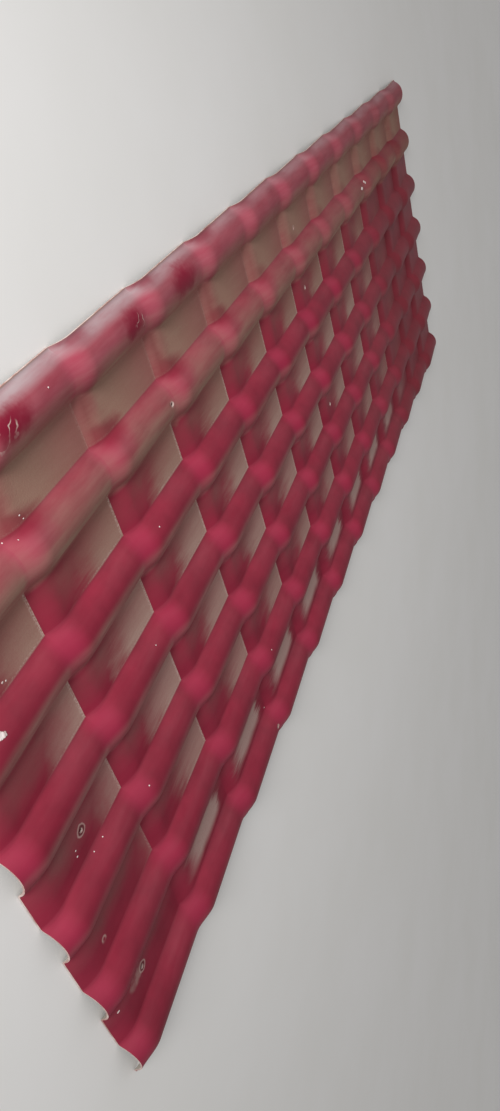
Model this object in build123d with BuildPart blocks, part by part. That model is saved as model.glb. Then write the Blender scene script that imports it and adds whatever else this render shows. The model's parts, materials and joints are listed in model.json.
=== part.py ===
"""A plastic roofing sheet, moulded to look like rows of round tiles.

It is one sheet of even wall: seven round crests run along it, and it steps up once in each row of tiles.
It lies flat with its weather face up. X runs across the crests, Y up the roof from the eaves end, and
Z up from the floor. The origin is on the floor, under the middle of the sheet. Sizes are in millimetres.
"""

from build123d import *
import os
from math import atan2, degrees

# Section across the sheet, measured on the weather face
CREST_COUNT = 7
CREST_WIDTH = 90.0
TROUGH_WIDTH = 70.0
CREST_HEIGHT = 24.0
FOOT_RADIUS = 8.0
WALL = 3.0

# Rows of tiles along the sheet, each with a rounded nose that steps up at its eaves end
ROW_COUNT = 12
ROW_LENGTH = 219.0
STEP_HEIGHT = 12.0
NOSE_RUN = 40.0

# Screw holes left by the roof. The screws ran in three lines across it, each this far up from the eaves end.
SCREW_HOLE_DIAMETER = 6.5
EAVES_LINE = 109.0
CREST_LINE = 646.0
MIDDLE_LINE = 1371.0

# Driven by hand, the screws stray from their lines. Each hole has its line, the number of its trough or crest
# from the left, and how many strays it lies to the right of that middle and up from its line.
SCREW_STRAY = 5.0
TROUGH_SCREWS = [
    (EAVES_LINE, 2, -2, 0),
    (EAVES_LINE, 4, -1, 2),
    (EAVES_LINE, 6, -2, -3),
    (MIDDLE_LINE, 1, 2, 2),
    (MIDDLE_LINE, 2, -1, 0),
    (MIDDLE_LINE, 4, 0, 0),
]
CREST_SCREWS = [
    (EAVES_LINE, 2, 0, 2),
    (CREST_LINE, 2, 0, 0),
    (CREST_LINE, 7, 0, 0),
]

# Values that follow from the sizes above
PITCH = CREST_WIDTH + TROUGH_WIDTH
SHEET_WIDTH = CREST_COUNT * PITCH - TROUGH_WIDTH
SHEET_LENGTH = ROW_COUNT * ROW_LENGTH
LEFT_EDGE = -SHEET_WIDTH / 2
EAVES_END = -SHEET_LENGTH / 2
HALF_CREST = CREST_WIDTH / 2
CROWN_RADIUS = (HALF_CREST**2 + CREST_HEIGHT**2) / (2 * CREST_HEIGHT) - FOOT_RADIUS
FLANK_ANGLE = degrees(atan2(HALF_CREST, CROWN_RADIUS + FOOT_RADIUS - CREST_HEIGHT))
CLEAR_HEIGHT = WALL + CREST_HEIGHT + STEP_HEIGHT + WALL


def crest_middle(number):
    """Distance across the sheet of the middle of a crest, counted from the left."""
    return LEFT_EDGE + HALF_CREST + (number - 1) * PITCH


def trough_middle(number):
    """Distance across the sheet of the middle of the trough to the right of that crest."""
    return crest_middle(number) + PITCH / 2


def draw_crest(middle, depth):
    """One crest: a foot arc, the crown arc and the other foot arc, at a depth below the weather face."""
    foot_arc = FOOT_RADIUS + depth
    foot_height = FOOT_RADIUS
    crown_height = CREST_HEIGHT - CROWN_RADIUS
    CenterArc((middle - HALF_CREST, foot_height), foot_arc, -90, FLANK_ANGLE)
    CenterArc((middle, crown_height), CROWN_RADIUS - depth, 90 + FLANK_ANGLE, -2 * FLANK_ANGLE)
    CenterArc((middle + HALF_CREST, foot_height), foot_arc, -90 - FLANK_ANGLE, FLANK_ANGLE)


def draw_face(depth):
    """One face of the sheet in section: all its crests, with a flat trough between each two."""
    for number in range(1, CREST_COUNT + 1):
        draw_crest(crest_middle(number), depth)
    for number in range(1, CREST_COUNT):
        trough_start = crest_middle(number) + HALF_CREST
        Line((trough_start, -depth), (trough_start + TROUGH_WIDTH, -depth))


def draw_row(number):
    """One row of tiles seen from the side: the nose's arc, running smoothly into the long slope down."""
    foot = EAVES_END + number * ROW_LENGTH
    nose_top = (foot + NOSE_RUN, WALL + STEP_HEIGHT)
    next_foot = (foot + ROW_LENGTH, WALL)
    TangentArc(nose_top, (foot, WALL), tangent=(NOSE_RUN - ROW_LENGTH, STEP_HEIGHT))
    Line(nose_top, next_foot)


# The sheet
with BuildPart() as roof_sheet:
    with BuildLine(Plane.YZ) as row_line:
        for row in range(ROW_COUNT):
            draw_row(row)
    with BuildSketch(Plane((0, EAVES_END, WALL), x_dir=(1, 0, 0), z_dir=(0, -1, 0))):
        with BuildLine():
            draw_face(0)
            draw_face(WALL)
            for edge in (LEFT_EDGE, -LEFT_EDGE):
                Line((edge, 0), (edge, -WALL))
        make_face()
    sweep(path=row_line.line, normal=(0, 1, 0))

    # Screw holes, straight down through the one wall under each place
    hole_places = [
        (trough_middle(number) + right * SCREW_STRAY, EAVES_END + line + up * SCREW_STRAY)
        for line, number, right, up in TROUGH_SCREWS
    ]
    hole_places += [
        (crest_middle(number) + right * SCREW_STRAY, EAVES_END + line + up * SCREW_STRAY)
        for line, number, right, up in CREST_SCREWS
    ]
    with Locations([(across, along, CLEAR_HEIGHT) for across, along in hole_places]):
        Hole(SCREW_HOLE_DIAMETER / 2, depth=CLEAR_HEIGHT)

roof_sheet.part.label = "roof_sheet"

os.makedirs("parts", exist_ok=True)
export_step(roof_sheet.part, "parts/roof_sheet.step")
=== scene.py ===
"""The looks of a plastic roofing sheet that is moulded like rows of round tiles.

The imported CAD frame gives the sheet's box and its screw holes. A finer moulded sheet stands in for the CAD
sheet, cut by its old screw holes, and the splashes of lime and mortar that dried on it are pieces of their own.
X runs across the crests, Y up the roof from the eaves end and Z up from the floor, all in metres.
"""

import sys
import json
import logging
import math
import random
from dataclasses import dataclass
from enum import Enum, IntEnum
from functools import partial
from typing import Callable, ClassVar, Sequence

import bpy
from mathutils import Matrix, Vector


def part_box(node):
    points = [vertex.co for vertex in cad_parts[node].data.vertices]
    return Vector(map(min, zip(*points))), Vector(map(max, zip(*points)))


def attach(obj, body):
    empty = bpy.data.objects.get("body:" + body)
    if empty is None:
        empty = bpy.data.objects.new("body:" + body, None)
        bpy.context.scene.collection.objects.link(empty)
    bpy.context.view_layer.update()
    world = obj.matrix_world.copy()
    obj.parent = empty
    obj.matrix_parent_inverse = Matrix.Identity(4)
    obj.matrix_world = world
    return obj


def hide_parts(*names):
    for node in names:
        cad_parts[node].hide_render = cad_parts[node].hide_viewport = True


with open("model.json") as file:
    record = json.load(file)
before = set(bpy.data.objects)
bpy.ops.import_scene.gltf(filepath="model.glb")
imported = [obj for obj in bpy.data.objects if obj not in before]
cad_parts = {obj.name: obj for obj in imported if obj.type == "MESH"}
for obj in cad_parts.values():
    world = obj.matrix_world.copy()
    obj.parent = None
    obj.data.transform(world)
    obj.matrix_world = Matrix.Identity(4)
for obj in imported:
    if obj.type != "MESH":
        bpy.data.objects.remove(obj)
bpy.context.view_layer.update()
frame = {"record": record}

log = logging.getLogger("roofing_sheet")

CAD_NODE = "roof_sheet"
BODY = "root"
MM_PER_M = 1000

Socket = bpy.types.NodeSocket
AddNode = Callable[..., Socket]

# Kinds of node and their settings that the finishes use over and over. RANGE takes a value, where it starts and
# ends, and what it gives at each of the two. MIX takes the share, and two numbers or two colours.
MATH = "ShaderNodeMath"
VECTOR = "ShaderNodeVectorMath"
MIX = "ShaderNodeMix"
RANGE = "ShaderNodeMapRange"
NOISE = "ShaderNodeTexNoise"
TIMES = {"operation": "MULTIPLY"}
TIMES_PLUS = {"operation": "MULTIPLY_ADD"}
MINUS = {"operation": "SUBTRACT"}
MOST = {"operation": "MAXIMUM"}
LEAST = {"operation": "MINIMUM"}
SOFT = {"interpolation_type": "SMOOTHSTEP"}
NUMBERS = {"data_type": "FLOAT"}
COLOURS = {"data_type": "RGBA", "out": 2}


def linear(hex_colour: str) -> tuple[float, float, float, float]:
    """Turn a colour written as sRGB hex into the linear colour that shaders take.

    Args:
        hex_colour: The colour, such as "#8B2F43".

    Returns:
        Linear red, green and blue, and an alpha of one.
    """
    digits = hex_colour.lstrip("#")
    parts = [int(digits[at:at + 2], 16) / 255 for at in (0, 2, 4)]
    red, green, blue = [part / 12.92 if part <= 0.04045 else ((part + 0.055) / 1.055) ** 2.4 for part in parts]
    return red, green, blue, 1.0


def add_node(
    tree: bpy.types.NodeTree, kind: str, inputs: Sequence | dict = (), out: int = 0, **options
) -> Socket | bpy.types.Node:
    """Add a node with its settings, and give its inputs their values or links.

    Args:
        tree: The material's node tree.
        kind: The node's type name.
        inputs: Values or output sockets, in the order of the node's inputs or by their name or number.
        out: Number of the output that is wanted.
        **options: Settings of the node itself.

    Returns:
        The node's output socket, or the node where it has none.
    """
    node = tree.nodes.new(kind)
    for name, value in options.items():
        setattr(node, name, value)
    for key, value in inputs.items() if isinstance(inputs, dict) else enumerate(inputs):
        if isinstance(value, Socket):
            tree.links.new(value, node.inputs[key])
        else:
            node.inputs[key].default_value = value
    return node.outputs[out] if node.outputs else node


def deselect_all() -> None:
    """Leave edit mode and deselect every object."""
    if bpy.context.object and bpy.context.object.mode != "OBJECT":
        bpy.ops.object.mode_set(mode="OBJECT")
    bpy.ops.object.select_all(action="DESELECT")


def select_points(piece: bpy.types.Object, test: Callable[[Vector], bool]) -> None:
    """Select a mesh's points by their place, and go on in edit mode with them.

    Args:
        piece: The mesh object.
        test: Says of a point's place whether it is selected.
    """
    bpy.ops.object.mode_set(mode="EDIT")
    bpy.ops.mesh.select_mode(type="VERT")
    bpy.ops.mesh.select_all(action="DESELECT")
    bpy.ops.object.mode_set(mode="OBJECT")
    for point in piece.data.vertices:
        point.select = test(point.co)
    bpy.ops.object.mode_set(mode="EDIT")


def apply_modifier(piece: bpy.types.Object, kind: str, **settings) -> None:
    """Add a modifier with its settings and apply it.

    Args:
        piece: The mesh object, which is made the active one.
        kind: The modifier's type name.
        **settings: Settings of the modifier.
    """
    bpy.context.view_layer.objects.active = piece
    modifier = piece.modifiers.new(kind.lower(), kind)
    for name, value in settings.items():
        setattr(modifier, name, value)
    bpy.ops.object.modifier_apply(modifier=modifier.name)


def join(pieces: Sequence[bpy.types.Object], name: str) -> bpy.types.Object:
    """Join objects into one, with its place in its mesh.

    Args:
        pieces: The objects. The first one takes in the others.
        name: Name of the joined piece.

    Returns:
        The joined object, at the origin, unturned and unscaled.
    """
    deselect_all()
    for piece in pieces:
        piece.select_set(True)
    bpy.context.view_layer.objects.active = pieces[0]
    if len(pieces) > 1:
        bpy.ops.object.join()
    bpy.ops.object.transform_apply(location=True, rotation=True, scale=True)
    joined = bpy.context.object
    joined.name = name
    joined.data.name = name
    return joined


class SheetFace(IntEnum):
    """Material slots of the moulded sheet."""

    SKIN = 0
    UNDERSIDE = 1
    CORE = 2


class ScrewMark(Enum):
    """What a screw left round its hole."""

    RINGED = "ringed"
    FAINT = "faint"
    CHIPPED = "chipped"


# How many times wider than its screw hole each is at the weather face
FLARES = {ScrewMark.RINGED: 1.2, ScrewMark.FAINT: 1.15, ScrewMark.CHIPPED: 1.6}


@dataclass(frozen=True)
class ScrewHole:
    """One old screw hole: the middle of its wall, its radius and what the screw left round it."""

    centre: Vector
    radius: float
    mark: ScrewMark


def smooth_share(value: float, start: float, end: float) -> float:
    """Share of the way from a start to an end, eased in and out.

    Args:
        value: The value between them.
        start: Where the share is nothing.
        end: Where the share is one.

    Returns:
        The share, from nothing to one.
    """
    share = min(max((value - start) / (end - start), 0.0), 1.0)
    return share * share * (3 - 2 * share)


@dataclass(frozen=True)
class SheetForm:
    """Driving sizes of the moulded sheet, in metres, from the lowest corner of its CAD box.

    fold_run is how far a trough's fold is rounded to each side. A nose on a crest swells from swell_start to
    swell_end up its row, all of it where the crest is higher than swell_side of its height.
    """

    left: float
    eaves: float
    floor: float
    crest_count: int = 7
    crest_width: float = 0.090
    trough_width: float = 0.070
    crest_height: float = 0.024
    foot_radius: float = 0.008
    wall: float = 0.003
    row_count: int = 12
    row_length: float = 0.219
    step_height: float = 0.012
    nose_run: float = 0.040
    fold_run: float = 0.0022
    swell_start: float = -0.009
    swell_end: float = 0.045
    swell_side: float = 0.25
    normal_reach: float = 0.00025

    @property
    def pitch(self) -> float:
        """Distance from one crest to the next."""
        return self.crest_width + self.trough_width

    @property
    def width(self) -> float:
        """Width of the whole sheet."""
        return self.crest_count * self.pitch - self.trough_width

    @property
    def length(self) -> float:
        """Length of the whole sheet."""
        return self.row_count * self.row_length

    @property
    def crown_radius(self) -> float:
        """Radius of a crest's crown, which runs smoothly into both foot arcs."""
        half = self.crest_width / 2
        return (half**2 + self.crest_height**2) / (2 * self.crest_height) - self.foot_radius

    @property
    def flank_angle(self) -> float:
        """Steepest angle of a crest's flank, where its foot arc meets the crown."""
        return math.atan2(self.crest_width / 2, self.crown_radius + self.foot_radius - self.crest_height)

    @property
    def slope_angle(self) -> float:
        """Angle at which a tile falls towards the next step up the roof."""
        return math.atan2(self.step_height, self.row_length - self.nose_run)

    @property
    def nose_radius(self) -> float:
        """Radius of the rounded nose at a tile's eaves end."""
        rise = self.nose_run * math.sin(self.slope_angle) + self.step_height * math.cos(self.slope_angle)
        return (self.nose_run**2 + self.step_height**2) / (2 * rise)

    @property
    def nose_centre(self) -> tuple[float, float]:
        """Centre of the nose's arc, up the roof and up from the row's foot."""
        along = self.nose_run - self.nose_radius * math.sin(self.slope_angle)
        return along, self.step_height - self.nose_radius * math.cos(self.slope_angle)

    @property
    def fold_turn(self) -> float:
        """Change of slope in the fold between a tile's slope and the foot of the next nose."""
        along, height = self.nose_centre
        return math.tan(self.slope_angle) - along / height

    @property
    def start_height(self) -> float:
        """Height of the weather face in a trough at the eaves end."""
        return self.floor + self.wall + self.row_height(self.eaves)

    def crest_middle(self, number: int) -> float:
        """X of the middle of a crest, counted from the left."""
        return self.left + self.crest_width / 2 + (number - 1) * self.pitch

    def trough_middle(self, number: int) -> float:
        """X of the middle of the trough to the right of that crest."""
        return self.crest_middle(number) + self.pitch / 2

    def section_height(self, x: float) -> float:
        """Height of the weather face over the trough at one place across the sheet.

        Args:
            x: The place across the sheet.

        Returns:
            The height, nothing in a trough and crest_height on a crown.
        """
        off = abs((x - self.left) % self.pitch - self.crest_width / 2)
        if off >= self.crest_width / 2:
            return 0.0
        if off <= self.crown_radius * math.sin(self.flank_angle):
            return self.crest_height - self.crown_radius + math.sqrt(self.crown_radius**2 - off**2)
        return self.foot_radius - math.sqrt(self.foot_radius**2 - (self.crest_width / 2 - off) ** 2)

    def row_height(self, y: float) -> float:
        """Height that the rows' steps add in a trough: a rounded nose from a fold, and then the long slope.

        Args:
            y: The place along the sheet.

        Returns:
            The height over the row's foot line.
        """
        up = (y - self.eaves) % self.row_length
        if up >= self.nose_run:
            height = self.step_height * (self.row_length - up) / (self.row_length - self.nose_run)
        else:
            along, low = self.nose_centre
            height = low + math.sqrt(self.nose_radius**2 - (up - along) ** 2)
        in_fold = max(self.fold_run - min(up, self.row_length - up), 0.0)
        return height + self.fold_turn * in_fold**2 / (4 * self.fold_run)

    def swell_height(self, y: float) -> float:
        """Height that the rows' steps add on a crest, where each nose swells softly out of the tile below.

        Args:
            y: The place along the sheet.

        Returns:
            The height over the row's foot.
        """
        slope = math.tan(self.slope_angle)
        up = (y - self.eaves - self.swell_start) % self.row_length + self.swell_start
        return slope * self.row_length * smooth_share(up, self.swell_start, self.swell_end) - slope * up

    def crest_lift(self, x: float, y: float) -> float:
        """How far the sheet lies over its trough's profile, for its soft noses on the crests.

        Args:
            x: The place across the sheet.
            y: The place along the sheet.

        Returns:
            The lift, nothing in a trough and mostly below nothing on a nose.
        """
        share = smooth_share(self.section_height(x) / self.crest_height, 0.0, self.swell_side)
        return share * (self.swell_height(y) - self.row_height(y))

    def on_skin(self, x: float, y: float) -> Vector:
        """The point of the weather face at a place on the sheet."""
        rise = self.section_height(x) + self.row_height(y) + self.crest_lift(x, y)
        return Vector((x, y, self.floor + self.wall + rise))

    def normal(self, x: float, y: float) -> Vector:
        """Direction straight out of the weather face at a place on the sheet.

        Args:
            x: The place across the sheet.
            y: The place along the sheet.

        Returns:
            The unit normal, worked out over half a millimetre.
        """
        step = self.normal_reach
        across = self.on_skin(x + step, y) - self.on_skin(x - step, y)
        along = self.on_skin(x, y + step) - self.on_skin(x, y - step)
        return across.cross(along).normalized()


@dataclass
class MouldedSheet:
    """The sheet itself: its weather face, its underside, its cut rim and its screw holes.

    Both faces are drawn as a section, by spins and extrusions, and run over one row of tiles, which is then
    repeated. The rim bridges them.
    """

    form: SheetForm
    holes: Sequence[ScrewHole]
    foot_segments: int = 4
    crown_segments: int = 12
    trough_segments: int = 2
    # Lines of points along a tile, in millimetres up the roof from its foot
    stations: Sequence[float] = (
        0.0, 1.1, 2.2, 5.0, 9.0, 13.0, 17.0, 21.0, 25.0, 30.0, 35.0, 40.0, 45.0, 70.0, 100.0, 130.0, 160.0,
        180.0, 195.0, 204.0, 210.0, 216.8, 217.9, 219.0,
    )
    # How near points are that count as one where rows meet, and where the rim meets the faces
    seam_gap: float = 0.00002
    double_gap: float = 0.00001
    warp_depth: float = 0.0008
    warp_length: float = 0.30
    smooth_angle: float = math.radians(35)
    # The tool for a screw hole: a pin that flares out in the skin, with a ragged edge, and stands clear of it
    pin_segments: int = 32
    pin_depth: float = 0.012
    chip_depth: float = 0.0014
    chip_rise: float = 0.0015
    chip_edge: float = 0.0005
    pin_clear: float = 0.004

    def build(self, finishes: Sequence[bpy.types.Material]) -> bpy.types.Object:
        """Model the sheet and dress it.

        Args:
            finishes: Materials of the skin, the underside and the core.

        Returns:
            The finished sheet.
        """
        faces = [
            self._draw_face(0.0, SheetFace.SKIN, finishes),
            self._draw_face(self.form.wall, SheetFace.UNDERSIDE, finishes),
        ]
        sheet = join(faces, "moulded_sheet")
        self._bridge_rim(sheet)
        self._swell_noses(sheet)
        self._warp_crests(sheet)
        self._cut_holes(sheet, finishes)
        bpy.ops.object.shade_smooth_by_angle(angle=self.smooth_angle)
        return sheet

    def _draw_face(self, depth: float, face: SheetFace, finishes: Sequence[bpy.types.Material]) -> bpy.types.Object:
        """Draw one face of the sheet.

        Args:
            depth: Depth of the face under the weather face.
            face: The material slot that all of it gets.
            finishes: Materials of the slots.

        Returns:
            The open face, one row repeated up the roof.
        """
        form = self.form
        deselect_all()
        bpy.ops.mesh.primitive_plane_add(
            size=form.wall, location=(form.left, form.eaves, form.start_height - depth)
        )
        piece = bpy.context.object
        bpy.ops.object.transform_apply(location=True, rotation=True, scale=True)
        bpy.ops.object.mode_set(mode="EDIT")
        bpy.ops.mesh.merge(type="CENTER")
        self._draw_section()
        bpy.ops.mesh.select_all(action="SELECT")
        places = [form.eaves + station / MM_PER_M for station in self.stations]
        for place, following in zip(places, places[1:]):
            rise = form.row_height(following) - form.row_height(place)
            bpy.ops.mesh.extrude_edges_move(TRANSFORM_OT_translate={"value": (0, following - place, rise)})
        bpy.ops.object.mode_set(mode="OBJECT")
        apply_modifier(
            piece,
            "ARRAY",
            count=form.row_count,
            use_relative_offset=False,
            use_constant_offset=True,
            constant_offset_displace=(0, form.row_length, 0),
            use_merge_vertices=True,
            merge_threshold=self.seam_gap,
        )
        for finish in finishes:
            piece.data.materials.append(finish)
        for polygon in piece.data.polygons:
            polygon.material_index = face
        return piece

    def _draw_section(self) -> None:
        """Draw the section from its left end to the right, from the selected point, in edit mode."""
        form = self.form
        foot_height = form.start_height + form.foot_radius
        crown_height = form.start_height + form.crest_height - form.crown_radius
        for number in range(1, form.crest_count + 1):
            middle = form.crest_middle(number)
            arcs = [
                (middle - form.crest_width / 2, foot_height, form.flank_angle, self.foot_segments),
                (middle, crown_height, -2 * form.flank_angle, self.crown_segments),
                (middle + form.crest_width / 2, foot_height, form.flank_angle, self.foot_segments),
            ]
            for x, z, angle, steps in arcs:
                bpy.ops.mesh.spin(steps=steps, angle=angle, center=(x, form.eaves, z), axis=(0, 1, 0))
            if number < form.crest_count:
                for _ in range(self.trough_segments):
                    move = (form.trough_width / self.trough_segments, 0, 0)
                    bpy.ops.mesh.extrude_vertices_move(TRANSFORM_OT_translate={"value": move})

    def _bridge_rim(self, sheet: bpy.types.Object) -> None:
        """Close the sheet with its cut rim, which shows the core.

        Args:
            sheet: Both faces of the sheet, joined.
        """
        bpy.ops.object.mode_set(mode="EDIT")
        bpy.ops.mesh.select_mode(type="EDGE")
        bpy.ops.mesh.select_all(action="DESELECT")
        bpy.ops.mesh.select_non_manifold(
            extend=False, use_wire=False, use_boundary=True, use_multi_face=False, use_non_contiguous=False,
            use_verts=False,
        )
        bpy.ops.mesh.bridge_edge_loops()
        bpy.ops.mesh.select_all(action="SELECT")
        bpy.ops.mesh.remove_doubles(threshold=self.double_gap)
        bpy.ops.mesh.normals_make_consistent(inside=False)
        bpy.ops.object.mode_set(mode="OBJECT")
        sides = (self.form.left, self.form.left + self.form.width)
        ends = (self.form.eaves, self.form.eaves + self.form.length)
        for polygon in sheet.data.polygons:
            at_side = min(abs(polygon.center.x - side) for side in sides) < self.seam_gap
            at_end = min(abs(polygon.center.y - end) for end in ends) < self.seam_gap
            if at_side or at_end:
                polygon.material_index = SheetFace.CORE

    def _swell_noses(self, sheet: bpy.types.Object) -> None:
        """Draw the noses on the crests out into soft swells, with no fold at their feet.

        Args:
            sheet: The closed sheet.
        """
        lifts = [self.form.crest_lift(point.co.x, point.co.y) for point in sheet.data.vertices]
        greatest = max(abs(lift) for lift in lifts)
        for name, sign in (("raised", 1), ("sunk", -1)):
            group = sheet.vertex_groups.new(name=name)
            for number, lift in enumerate(lifts):
                group.add([number], max(sign * lift, 0.0) / greatest, "REPLACE")
            apply_modifier(
                sheet, "DISPLACE", direction="Z", vertex_group=name, mid_level=0.0, strength=sign * greatest
            )
        sheet.vertex_groups.clear()

    def _warp_crests(self, sheet: bpy.types.Object) -> None:
        """Let the crests sag a little and unevenly, as a sheet that lay in the sun does.

        Args:
            sheet: The closed sheet.
        """
        group = sheet.vertex_groups.new(name="crests")
        for point in sheet.data.vertices:
            group.add([point.index], self.form.section_height(point.co.x) / self.form.crest_height, "REPLACE")
        clouds = bpy.data.textures.new("sheet_warp", "CLOUDS")
        clouds.noise_scale = self.warp_length
        apply_modifier(
            sheet, "DISPLACE", texture=clouds, texture_coords="LOCAL", direction="Z", vertex_group="crests",
            mid_level=0.0, strength=-self.warp_depth,
        )
        sheet.vertex_groups.clear()

    def _cut_holes(self, sheet: bpy.types.Object, finishes: Sequence[bpy.types.Material]) -> None:
        """Cut the old screw holes, each with a chipped edge on the weather face.

        Args:
            sheet: The closed sheet.
            finishes: Materials of its slots.
        """
        cutters = [self._hole_cutter(number, hole) for number, hole in enumerate(self.holes)]
        cutter = join(cutters, "hole_cutter")
        for finish in finishes:
            cutter.data.materials.append(finish)
        for polygon in cutter.data.polygons:
            polygon.material_index = SheetFace.CORE
        deselect_all()
        sheet.select_set(True)
        apply_modifier(sheet, "BOOLEAN", object=cutter, operation="DIFFERENCE", solver="EXACT")
        bpy.data.objects.remove(cutter, do_unlink=True)

    def _hole_cutter(self, number: int, hole: ScrewHole) -> bpy.types.Object:
        """Model the tool that cuts one hole: a pin that flares out at the weather face.

        Args:
            number: The hole's number, which seeds its ragged edge.
            hole: The hole.

        Returns:
            The cutter.
        """
        skin = self.form.on_skin(hole.centre.x, hole.centre.y).z
        pin_top = skin - self.chip_depth
        deselect_all()
        bpy.ops.mesh.primitive_cylinder_add(
            vertices=self.pin_segments, radius=hole.radius, depth=self.pin_depth,
            location=(hole.centre.x, hole.centre.y, pin_top - self.pin_depth / 2),
        )
        cutter = bpy.context.object
        bpy.ops.object.transform_apply(location=True, rotation=True, scale=True)
        select_points(cutter, lambda place: place.z > pin_top - self.pin_depth / 2)
        for rise, spread in ((self.chip_rise, FLARES[hole.mark]), (self.pin_clear, 1.0)):
            bpy.ops.mesh.extrude_region_move(TRANSFORM_OT_translate={"value": (0, 0, rise)})
            bpy.ops.transform.resize(
                value=(spread, spread, 1.0), center_override=(hole.centre.x, hole.centre.y, skin)
            )
            if spread > 1.0:
                bpy.ops.transform.vertex_random(offset=self.chip_edge, seed=number + 1)
        bpy.ops.object.mode_set(mode="OBJECT")
        return cutter


@dataclass(frozen=True)
class Splash:
    """A splash that dried on the skin: its place and size, in millimetres from the sheet's left eaves corner.

    Its turn is in degrees, and voxel is how finely its blobs melt together.
    """

    name: str
    across: float
    along: float
    width: float
    length: float
    height: float
    turn: float
    blobs: int
    seed: int
    voxel: float = 0.45


@dataclass
class DriedSplashes:
    """Lumps and smears of lime and mortar, each a heap of flat blobs that melt into one another.

    A blob is middle_size times blob_radius in the middle of its splash and rim_size times at its rim, and the two
    spreads are what the random draws make of that. blob_radius is in metres.
    """

    form: SheetForm
    finish: bpy.types.Material
    splashes: Sequence[Splash] = (
        Splash("lime_lump", 281.0, 97.0, 20.0, 17.0, 2.2, 20.0, 26, 3),
        Splash("lime_smear", 341.0, 74.0, 9.0, 15.0, 1.2, -25.0, 16, 5),
        Splash("mortar_run", 197.0, 1940.0, 6.0, 24.0, 1.4, 0.0, 14, 7),
        Splash("mortar_hook", 188.0, 1980.0, 12.0, 5.0, 1.2, 35.0, 10, 8),
    )
    blob_radius: float = 0.0034
    blob_detail: int = 3
    middle_size: float = 1.25
    rim_size: float = 0.50
    size_spread: tuple[float, float] = (0.7, 1.2)
    length_spread: tuple[float, float] = (0.7, 1.3)

    def build(self) -> list[bpy.types.Object]:
        """Model each splash as a piece of its own."""
        return [self._heap(splash) for splash in self.splashes]

    def _heap(self, splash: Splash) -> bpy.types.Object:
        """Heap flat blobs on the skin inside an oval and melt them into one lump.

        Args:
            splash: The splash.

        Returns:
            The lump, which dips a little into the skin that carries it.
        """
        draw = random.Random(splash.seed)
        blobs = []
        for _ in range(splash.blobs):
            turn, reach = draw.uniform(0, 2 * math.pi), math.sqrt(draw.random())
            place = Matrix.Rotation(math.radians(splash.turn), 2) @ Vector(
                (math.cos(turn) * reach * splash.width / 2, math.sin(turn) * reach * splash.length / 2)
            )
            size = self.middle_size - (self.middle_size - self.rim_size) * reach
            size *= draw.uniform(*self.size_spread)
            radius = size * self.blob_radius
            blobs.append(
                self._blob(
                    self.form.left + (splash.across + place.x) / MM_PER_M,
                    self.form.eaves + (splash.along + place.y) / MM_PER_M,
                    (radius, radius * draw.uniform(*self.length_spread), size * splash.height / MM_PER_M),
                )
            )
        lump = join(blobs, splash.name)
        apply_modifier(lump, "REMESH", mode="VOXEL", voxel_size=splash.voxel / MM_PER_M, use_smooth_shade=True)
        lump.data.materials.clear()
        lump.data.materials.append(self.finish)
        return lump

    def _blob(self, x: float, y: float, radii: tuple[float, float, float]) -> bpy.types.Object:
        """Add one flat blob, square to the skin and half sunk in it.

        Args:
            x: Its place across the sheet.
            y: Its place along the sheet.
            radii: Its radii along the skin, twice, and out of it.

        Returns:
            The blob.
        """
        lean = self.form.normal(x, y).to_track_quat("Z", "Y").to_euler()
        deselect_all()
        bpy.ops.mesh.primitive_ico_sphere_add(
            subdivisions=self.blob_detail, radius=1.0, location=self.form.on_skin(x, y), rotation=lean, scale=radii
        )
        return bpy.context.object


@dataclass
class FlungSpecks:
    """Small drops of lime and mortar, flung over the skin and dried where they fell."""

    form: SheetForm
    finish: bpy.types.Material
    # Across, along and diameter, in millimetres from the sheet's left eaves corner
    drops: Sequence[tuple[float, float, float]] = (
        (309, 125, 4.0), (312, 131, 2.5), (316, 106, 3.6), (611, 95, 2.4), (621, 93, 2.8), (902, 22, 4.2),
        (648, 142, 2.2), (647, 118, 2.0), (150, 258, 2.6), (158, 262, 2.0), (166, 221, 2.4), (172, 236, 1.8),
        (345, 492, 3.0), (505, 388, 2.4), (666, 246, 3.0), (828, 700, 2.6), (957, 652, 3.0), (33, 381, 2.6),
    )
    seed: int = 41
    detail: int = 3
    width_spread: tuple[float, float] = (0.8, 1.0)
    length_spread: tuple[float, float] = (0.9, 1.4)
    flatness: float = 0.45
    unevenness: float = 0.12
    smooth_angle: float = math.radians(60)

    def build(self) -> bpy.types.Object:
        """Model all the drops and join them.

        Returns:
            One piece that holds every drop.
        """
        draw = random.Random(self.seed)
        drops = []
        for across, along, size in self.drops:
            x, y = self.form.left + across / MM_PER_M, self.form.eaves + along / MM_PER_M
            lean = self.form.normal(x, y).to_track_quat("Z", "Y").to_euler()
            radius = size / (2 * MM_PER_M)
            deselect_all()
            bpy.ops.mesh.primitive_ico_sphere_add(
                subdivisions=self.detail, radius=1.0, location=self.form.on_skin(x, y), rotation=lean,
                scale=(
                    radius * draw.uniform(*self.width_spread), radius * draw.uniform(*self.length_spread),
                    radius * self.flatness,
                ),
            )
            bpy.ops.object.mode_set(mode="EDIT")
            bpy.ops.transform.vertex_random(offset=radius * self.unevenness, normal=1.0, seed=draw.randint(1, 999))
            bpy.ops.mesh.vertices_smooth(factor=0.5, repeat=2)
            bpy.ops.object.mode_set(mode="OBJECT")
            drops.append(bpy.context.object)
        specks = join(drops, "flung_specks")
        bpy.ops.object.shade_smooth_by_angle(angle=self.smooth_angle)
        specks.data.materials.append(self.finish)
        return specks


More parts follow.
